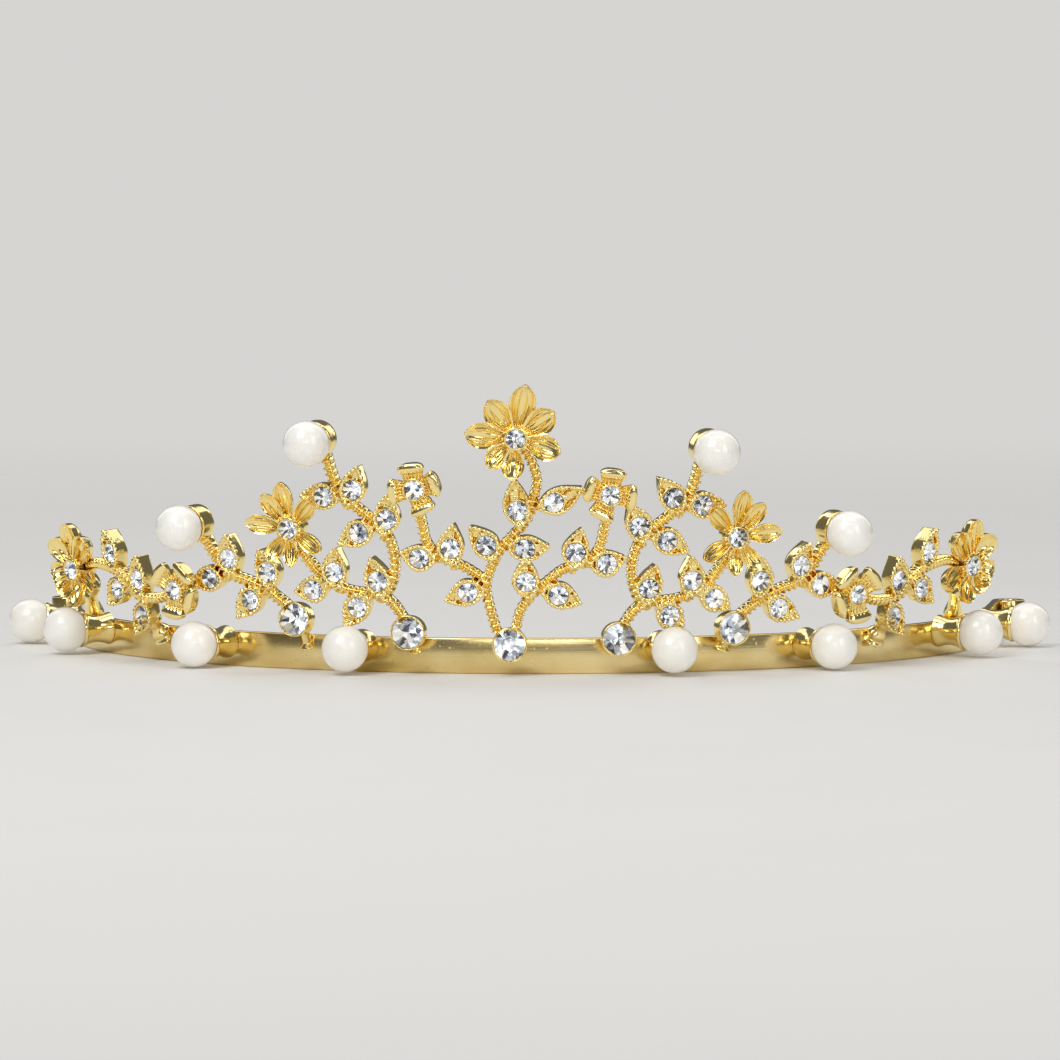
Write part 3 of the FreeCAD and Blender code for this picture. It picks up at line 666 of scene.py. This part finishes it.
def foil_back(name, dull, bright, painted_glow):
    """Silver foil behind a stone's pavilion in one of three painted reflections, with a painted glow of
    its own on the brighter ones.
    """
    material, tree, shader = new_material(name)
    silver = ramp(tree, noise(tree, 900.0, 1.0), [(0.35, dull), (0.65, bright)])
    link(tree, silver, shader.inputs["Base Color"])
    shader.inputs["Metallic"].default_value = 0.7
    # Painted glow: the emission makes the foil shine like a facet catching a lamp
    shader.inputs["Emission Color"].default_value = (0.95, 0.98, 1.0, 1.0)
    shader.inputs["Emission Strength"].default_value = painted_glow
    link(tree, remap(tree, noise(tree, 3000.0), 0.04, 0.16), shader.inputs["Roughness"])
    return material


GILT, BAND, PEARL, GLASS = cast_gold(), band_gold(), pearl_skin(), crystal_glass()
# Painted reflections: a bright foil with a painted glow, a grey one and a dark one stand in for facets
# that mirror light or shade
PAINTED_REFLECTION_FOILS = [foil_back("foil_painted_glint", (0.96, 0.98, 1.0), (1.0, 1.0, 1.0), 0.42),
         foil_back("foil_painted_grey", (0.62, 0.66, 0.74), (0.84, 0.87, 0.92), 0.1),
         foil_back("foil_painted_dark", (0.10, 0.11, 0.14), (0.24, 0.26, 0.31), 0.0)]
PAINTED_REFLECTION_SHARES = (5, 4, 3)             # how often each foil comes up


# ---------------------------------------------------------------- stones
def cut_stone(radius):
    """Points of a round brilliant with its girdle at Z = 0."""
    def circle(count, wide, height, offset=0.0):
        turns = [2 * math.pi * (k + offset) / count for k in range(count)]
        return [(radius * wide * math.cos(t), radius * wide * math.sin(t), radius * height)
                for t in turns]

    crown = circle(8, 0.55, 0.36, 0.5) + circle(8, 0.83, 0.235) + circle(16, 1.0, 0.04)
    return crown + circle(16, 1.0, -0.04) + circle(8, 0.42, -0.52, 0.5) + [(0, 0, -0.82 * radius)]


def make_stones(name, radius, places):
    """Faceted stones as one object: glass crown, foil pavilion with its facets painted bright, grey or
    dark as reflections.
    """
    below_girdle = -0.045 * radius
    work = bmesh.new()
    for place in places:
        spin = Matrix.Rotation(rng.uniform(0, math.pi / 4), 4, "Z")
        whole = place @ Matrix.Translation((0, 0, -STONE_SINK)) @ spin
        corners = [work.verts.new((whole @ Vector(p)) * MM) for p in cut_stone(radius)]
        hull = bmesh.ops.convex_hull(work, input=corners)
        faces = [item for item in hull["geom"] if isinstance(item, bmesh.types.BMFace)]
        back_to_local = whole.inverted()
        for face in faces:
            face.smooth = False
            centre = back_to_local @ (face.calc_center_median() / MM)
            # Each pavilion facet gets one of the foils at random, as a painted reflection
            foil = rng.choices(range(len(PAINTED_REFLECTION_FOILS)), PAINTED_REFLECTION_SHARES)[0]
            face.material_index = 0 if centre.z > below_girdle else 1 + foil
    bmesh.ops.recalc_face_normals(work, faces=work.faces)
    mesh = bpy.data.meshes.new(name)
    work.to_mesh(mesh)
    work.free()
    obj = bpy.data.objects.new(name, mesh)
    bpy.context.scene.collection.objects.link(obj)
    return place_piece(obj, [name], "rhinestone", GLASS, *PAINTED_REFLECTION_FOILS)


# ---------------------------------------------------------------- headband
def headband():
    """Flat strip with rounded edges: front arc, two legs, ends curled outwards into hair-pin eyes."""
    middle = BAND_RADIUS - BAND_THICK / 2
    turns = np.radians(np.arange(0, BAND_WRAP + 0.1, 1.0))
    half = [(middle * math.sin(a), -middle * math.cos(a), a) for a in turns]
    wrap = math.radians(BAND_WRAP)
    heading = Vector((math.cos(wrap), math.sin(wrap)))
    outward = Vector((heading.y, -heading.x))
    corner = Vector(half[-1][:2])
    for travel in np.linspace(0, LEG_LENGTH, 24)[1:]:
        point = corner + heading * travel
        half.append((point.x, point.y, wrap))
    curl = LOOP_BORE + BAND_THICK / 2
    hub = corner + heading * LEG_LENGTH + outward * curl
    for turn in np.radians(np.arange(6, 291, 6)):   # the eye stays open by a sliver
        point = hub + (heading * math.sin(turn) - outward * math.cos(turn)) * curl
        half.append((point.x, point.y, wrap - turn))
    path = [(-x, y, -a) for x, y, a in half[:0:-1]] + half
    edge, corners = 0.2, []
    for cx, cz, start in ((1, 1, 0), (-1, 1, 90), (-1, -1, 180), (1, -1, 270)):
        for step in (0, 30, 60, 90):
            a = math.radians(start + step)
            corners.append(((BAND_THICK / 2 - edge) * cx + edge * math.cos(a),
                            BAND_HEIGHT / 2 + (BAND_HEIGHT / 2 - edge) * cz + edge * math.sin(a)))
    rings = []
    for x, y, a in path:
        out = (math.sin(a), -math.cos(a))
        rings.append([(x + out[0] * across, y + out[1] * across, height) for across, height in corners])
    obj = cleaned(new_object("headband_strip", loft(rings)))
    obj.data.set_sharp_from_angle(angle=math.radians(50))
    return place_piece(obj, ["headband"], "band_gilt", BAND)


# ---------------------------------------------------------------- sprays and flowers
def make_sprays():
    centre = stem(TRUNK_STEM + [CENTRE_DAISY[0]], 1) + leaves(TRUNK_LEAVES, 1)
    centre += crystal_cup("centre", 1) + pad(CENTRE_DAISY[0], 1)
    for name, side in SIDES.items():
        centre += stem(ARM_FOOT[name] + ARM_STEM + [SMALL_BLOSSOM[0]], side) + leaves(ARM_LEAVES, side)
        centre += pad(SMALL_BLOSSOM[0], side)
        inner = stem(INNER_STEM + [SIDE_DAISY[0]], side) + stem(INNER_BRANCH, side)
        inner += leaves(INNER_LEAVES, side)
        inner += crystal_cup("inner", side) + pearl_drum("inner", side) + pad(SIDE_DAISY[0], side)
        outer = stem(OUTER_STEM, side) + leaves(OUTER_LEAVES, side)
        outer += crystal_cup("outer", side) + pearl_drum("outer", side)
        end = stem(END_STEM + [END_DAISY[0]], side) + leaves(END_LEAVES, side)
        end += pad(OUTER_BLOSSOM[0], side) + pad(END_DAISY[0], side)
        for place, toward in END_FEET:
            start = on_lattice(place, side, -STEM_SINK).translation
            end.append(strut(start, toward, side, radius=1.1, lumps=0.22))
        for kind, shells in (("inner", inner), ("outer", outer), ("end", end)):
            node = f"{kind}_spray_{name}"
            place_piece(cast(f"{node}_cast", shells, SPRAY_VOXEL), [node], "cast_gilt", GILT)
    place_piece(cast("centre_spray_cast", centre, SPRAY_VOXEL), ["centre_spray"], "cast_gilt", GILT)


def make_flower(node, kind, half, place, petals, side):
    """One flower and its stone; half is its petals' half width."""
    shells = flower(kind, half, place, petals, side)
    place_piece(cast(f"{node}_cast", shells, FLOWER_VOXEL), [node], "cast_gilt", GILT)
    top = flower_place(place, side) @ Matrix.Translation((0, 0, BOSS_HEIGHT))
    make_stones(f"stone_{node}", STONE_RADIUS, [top])


def make_flowers():
    make_flower("centre_daisy", daisy_petal, 1.8, *CENTRE_DAISY, 1)
    kinds = {"small_blossom": (blossom_petal, 1.75, SMALL_BLOSSOM),
             "side_daisy": (daisy_petal, 1.42, SIDE_DAISY),
             "outer_blossom": (blossom_petal, 1.95, OUTER_BLOSSOM),
             "end_daisy": (end_petal, 1.75, END_DAISY)}
    for node, (kind, half, (place, petals)) in kinds.items():
        for name, side in SIDES.items():
            make_flower(f"{node}_{name}", kind, half, place, petals, side)


def make_lattice_stones():
    groups = {"centre": [(TRUNK_LEAVES, 1), (ARM_LEAVES, 1), (ARM_LEAVES, -1)]}
    for name, side in SIDES.items():
        groups[f"inner_{name}"] = [(INNER_LEAVES, side)]
        groups[f"outer_{name}"] = [(OUTER_LEAVES, side)]
        groups[f"end_{name}"] = [(END_LEAVES, side)]
        for crystal in ("inner", "outer"):
            make_stones(f"crystal_{crystal}_{name}", CRYSTAL_RADIUS, [crystal_place(crystal, side)])
    make_stones("crystal_centre", CRYSTAL_RADIUS, [crystal_place("centre", 1)])
    for group, members in groups.items():
        places = [on_lattice((angle, height), side, 0, mirrored(heading, side))
                  for rows, side in members for angle, height, heading, _ in rows]
        make_stones(f"leaf_stones_{group}", STONE_RADIUS, places)


# ---------------------------------------------------------------- pearls
def pearl_frame(node):
    """Frame at a pearl's centre with Z outwards, from where the CAD pearl is."""
    low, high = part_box(node)
    centre = (low + high) / 2 / MM
    angle = math.degrees(math.atan2(centre.x, -centre.y))
    lean = LATTICE_FLARE if "upper" in node else 0.0
    place = frame_at(angle, 0, 0, lean)
    place.translation = centre
    return place


def make_pearl(node):
    """Pearl with the drilled hole that takes its peg."""
    drill, depth = 0.5, 0.9
    angles = np.linspace(-0.447 * math.pi, 0.5 * math.pi, 60)
    skin = [(PEARL_RADIUS * math.cos(a), PEARL_RADIUS * math.sin(a)) for a in angles]
    profile = [(0.0, depth), (drill, depth), (drill, -2.9)] + skin
    place = pearl_frame(node)
    obj = cleaned(new_object(f"{node}_skin", moved(revolve(profile, 96), place)))
    place_piece(obj, [node], "pearl", PEARL)


def make_pearl_cup(node, pearl):
    """Waisted drum from the band to a lower pearl, with a rolled rim and a peg."""
    foot, rim = -6.22, -PEARL_RISE
    seat = pearl_seat(0.03)
    outside = [(0.0, foot), (2.15, foot), (2.1, foot + 0.3), (1.94, foot + 0.7), (1.84, foot + 1.2),
               (1.8, foot + 1.7), (1.84, foot + 2.2), (1.98, foot + 2.8), (2.22, rim - 0.75),
               (2.3, rim - 0.5), (2.44, rim - 0.36), (2.46, rim - 0.12), (2.38, rim + 0.02)]
    profile = outside + seat + [(PEG_RADIUS, seat[-1][1]), (PEG_RADIUS, PEG_REACH), (0.0, PEG_REACH)]
    obj = cleaned(new_object(f"{node}_turned", moved(revolve(profile, 64), pearl_frame(pearl))))
    obj.data.set_sharp_from_angle(angle=math.radians(40))
    place_piece(obj, [node], "cast_gilt", GILT)


def make_pearls():
    for node in sorted(frame["nodes"]):
        if node.startswith("pearl_cup_"):
            make_pearl_cup(node, node.replace("pearl_cup_", "pearl_"))
        elif node.startswith("pearl_"):
            make_pearl(node)


# ---------------------------------------------------------------- stage, light and camera
PALE, FLOOR_RADIUS = (0.84, 0.83, 0.81), 2.2
SEEN_LIGHT, ROOM_LIGHT = 0.8, 0.16  # the backdrop's strength in the picture, and as light


def floor_paper():
    """Pale paper that fades out into the plain backdrop well behind the tiara."""
    material, tree, shader = new_material("floor_paper")
    darker = [value * 0.985 for value in PALE]
    tone = ramp(tree, noise(tree, 30.0, 2.0), [(0.3, darker), (0.7, PALE)])
    link(tree, tone, shader.inputs["Base Color"])
    shader.inputs["Roughness"].default_value = 0.6
    away = tree.nodes.new("ShaderNodeVectorMath")
    away.operation = "LENGTH"
    link(tree, tree.nodes.new("ShaderNodeTexCoord").outputs["Object"], away.inputs[0])
    fade = tree.nodes.new("ShaderNodeMapRange")
    fade.interpolation_type = "SMOOTHSTEP"
    fade.inputs["From Min"].default_value = 0.08
    fade.inputs["From Max"].default_value = 0.62
    link(tree, away.outputs["Value"], fade.inputs["Value"])
    mix = tree.nodes.new("ShaderNodeMixShader")
    link(tree, fade.outputs["Result"], mix.inputs["Fac"])
    link(tree, shader.outputs["BSDF"], mix.inputs[1])
    link(tree, tree.nodes.new("ShaderNodeBsdfTransparent").outputs["BSDF"], mix.inputs[2])
    link(tree, mix.outputs["Shader"], tree.nodes["Material Output"].inputs["Surface"])
    return material


def make_floor():
    """Disc of paper that the tiara stands on."""
    mesh = bpy.data.meshes.new("floor")
    work = bmesh.new()
    bmesh.ops.create_circle(work, cap_ends=True, segments=96, radius=FLOOR_RADIUS)
    work.to_mesh(mesh)
    work.free()
    floor = bpy.data.objects.new("floor", mesh)
    floor.location.z = -0.02 * MM
    mesh.materials.append(floor_paper())
    bpy.context.scene.collection.objects.link(floor)


LIT_POINT = Vector((0, -0.03, 0.015))


def softbox(name, azimuth, elevation, distance, size, power):
    """Area light aimed at the tiara; azimuth 0 is in front and 90 on the right."""
    a, e = math.radians(azimuth), math.radians(elevation)
    back = Vector((math.sin(a) * math.cos(e), -math.cos(a) * math.cos(e), math.sin(e)))
    light = bpy.data.lights.new(name, "AREA")
    light.shape = "RECTANGLE"
    light.size, light.size_y = size
    light.energy = power
    lamp = bpy.data.objects.new(name, light)
    lamp.location = LIT_POINT + back * distance
    lamp.rotation_mode = "QUATERNION"
    lamp.rotation_quaternion = back.to_track_quat("Z", "Y")
    lamp.visible_camera = False
    bpy.context.scene.collection.objects.link(lamp)


def make_lights():
    softbox("key", -32, 45, 0.9, (0.45, 0.45), 3.2)
    softbox("fill", 42, 22, 1.0, (0.3, 0.6), 1.9)
    softbox("front", 3, 13, 0.95, (0.5, 0.1), 0.9)
    softbox("top", 0, 85, 0.9, (0.9, 0.35), 2.0)
    softbox("wash", 180, 62, 1.3, (1.6, 0.7), 3.6)
    softbox("rim_left", -140, 30, 1.0, (0.3, 0.8), 1.0)
    softbox("rim_right", 140, 30, 1.0, (0.3, 0.8), 1.0)


def make_backdrop():
    """Plain world: pale where the camera sees it, dimmer where the metal reflects it."""
    world = bpy.data.worlds.new("studio")
    world.use_nodes = True
    bpy.context.scene.world = world
    tree = world.node_tree
    seen = tree.nodes.new("ShaderNodeLightPath").outputs["Is Camera Ray"]
    strength = tree.nodes.new("ShaderNodeMapRange")
    strength.inputs["To Min"].default_value = ROOM_LIGHT
    strength.inputs["To Max"].default_value = SEEN_LIGHT
    link(tree, seen, strength.inputs["Value"])
    background = tree.nodes["Background"]
    background.inputs["Color"].default_value = (*PALE, 1)
    link(tree, strength.outputs["Result"], background.inputs["Strength"])


def make_camera():
    """Long lens a metre away, a little above and to the right of the tiara's middle."""
    azimuth, elevation, distance = math.radians(2.61), math.radians(4.3), 1.0
    back = Vector((math.sin(azimuth) * math.cos(elevation), -math.cos(azimuth) * math.cos(elevation),
                   math.sin(elevation)))
    right = Vector((math.cos(azimuth), math.sin(azimuth), 0))
    above = back.cross(right)
    aim = right * (-0.39 * MM) + above * (14.8 * MM)
    data = bpy.data.cameras.new("camera")
    data.lens, data.sensor_width = 246.4, 36.0
    camera = bpy.data.objects.new("camera", data)
    camera.location = back * distance
    camera.rotation_mode = "QUATERNION"
    camera.rotation_quaternion = (camera.location - aim).to_track_quat("Z", "Y")
    bpy.context.scene.collection.objects.link(camera)
    bpy.context.scene.camera = camera


headband()
make_sprays()
make_flowers()
make_lattice_stones()
make_pearls()
make_floor()
make_lights()
make_backdrop()
make_camera()
bpy.context.scene.view_settings.view_transform = "Standard"
